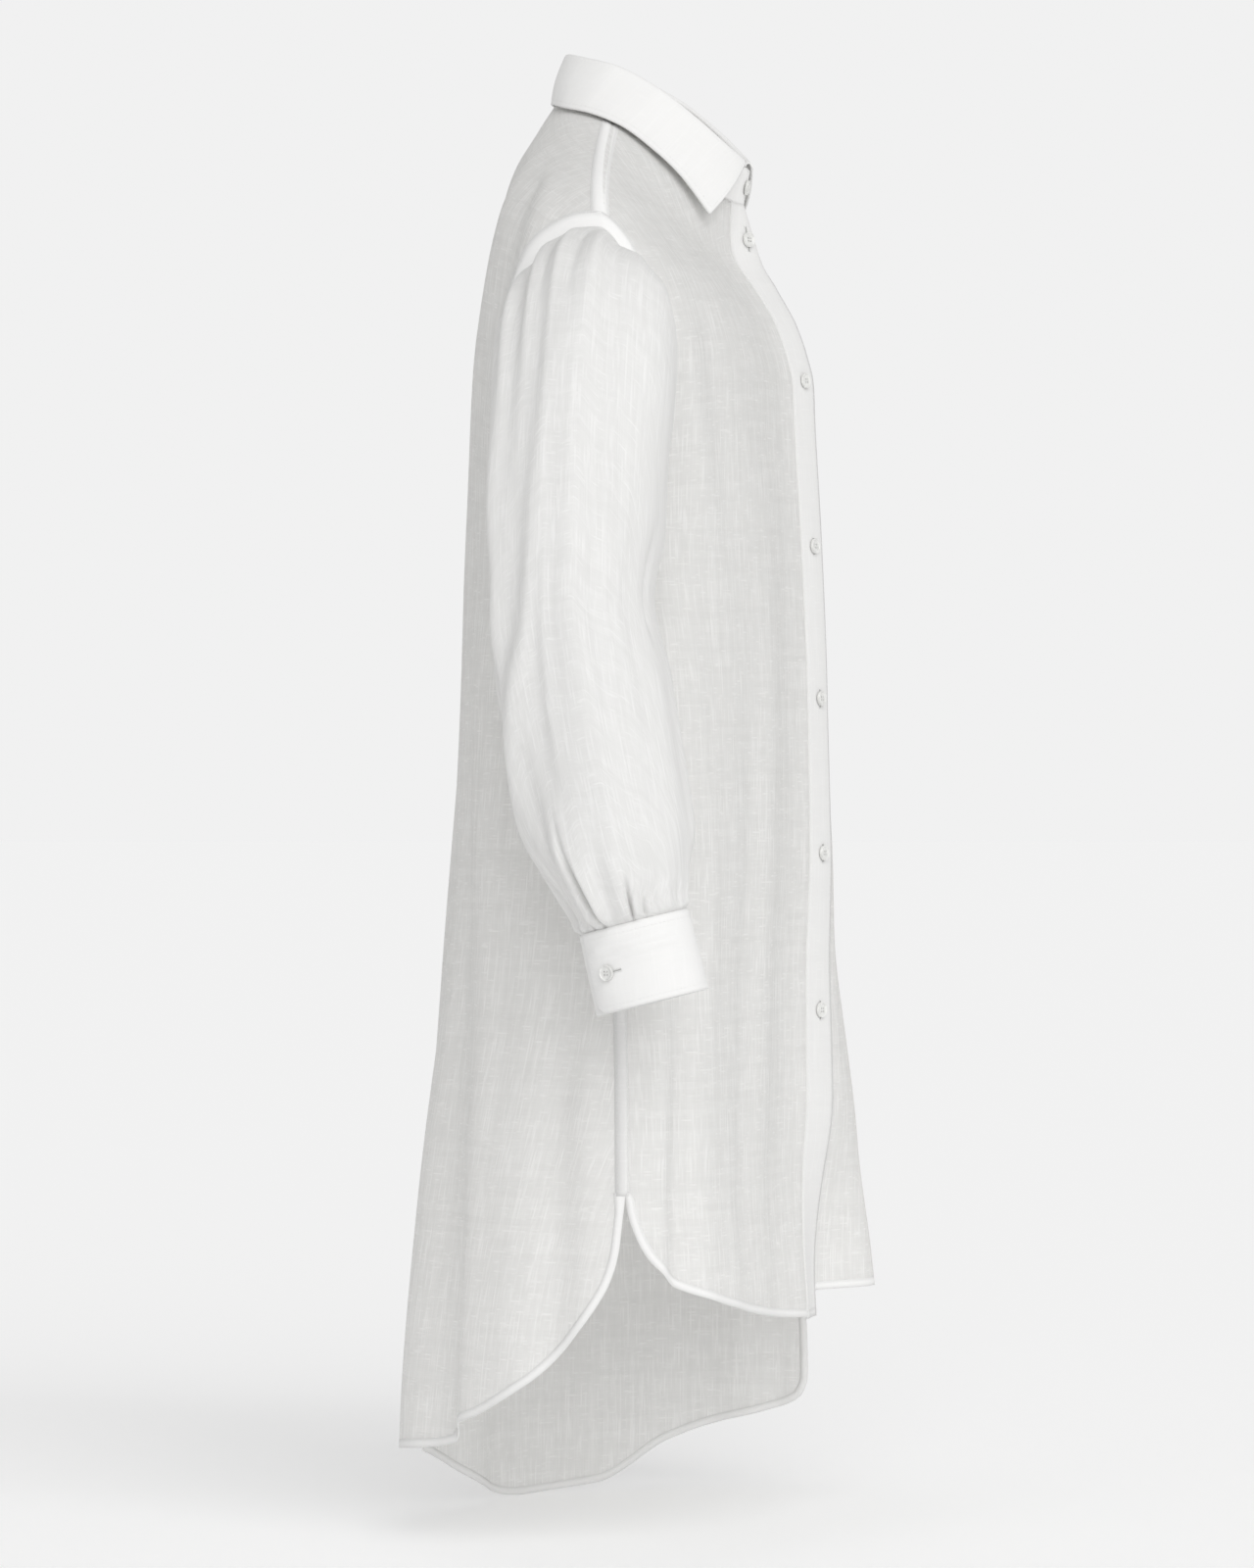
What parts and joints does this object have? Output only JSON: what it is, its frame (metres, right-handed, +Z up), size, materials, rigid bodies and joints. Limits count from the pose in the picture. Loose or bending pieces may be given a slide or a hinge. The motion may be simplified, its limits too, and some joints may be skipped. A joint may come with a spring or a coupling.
{
  "type": "shirt dress",
  "caption": "Long white semi-sheer shirt dress with a pointed collar, buttoned front band, full cuffed sleeves and a curved tail hem that is longer at the back.",
  "frame": {"origin": "middle of the neck opening at the height where the shoulder seams meet the collar", "axes": "+Z up along the wearer's back, +X towards the wearer's left, the front faces -Y"},
  "size_m": [0.7592, 0.3326, 1.1216],
  "materials": {
    "back": "semi-sheer slub cotton gauze",
    "front_right": "semi-sheer slub cotton gauze",
    "front_left": "semi-sheer slub cotton gauze",
    "band_right": "opaque doubled slub cotton",
    "band_left": "opaque doubled slub cotton",
    "sleeve_right": "semi-sheer slub cotton gauze",
    "sleeve_left": "semi-sheer slub cotton gauze",
    "cuff_right": "opaque doubled slub cotton",
    "cuff_left": "opaque doubled slub cotton",
    "collar_stand": "opaque doubled slub cotton",
    "collar_fall": "opaque doubled slub cotton",
    "button_stand": "soft pearl white",
    "button_1": "soft pearl white",
    "button_2": "soft pearl white",
    "button_3": "soft pearl white",
    "button_4": "soft pearl white",
    "button_5": "soft pearl white",
    "button_6": "soft pearl white",
    "cuff_button_right": "soft pearl white",
    "cuff_button_left": "soft pearl white"
  },
  "bodies": {
    "root": {"back": "back", "front_right": "front_right", "front_left": "front_left", "band_right": "band_right", "band_left": "band_left", "sleeve_right": "sleeve_right", "sleeve_left": "sleeve_left", "cuff_right": "cuff_right", "cuff_left": "cuff_left", "collar_stand": "collar_stand", "collar_fall": "collar_fall", "button_stand": "button_stand", "button_1": "button_1", "button_2": "button_2", "button_3": "button_3", "button_4": "button_4", "button_5": "button_5", "button_6": "button_6", "cuff_button_right": "cuff_button_right", "cuff_button_left": "cuff_button_left"}
  },
  "joints": []
}
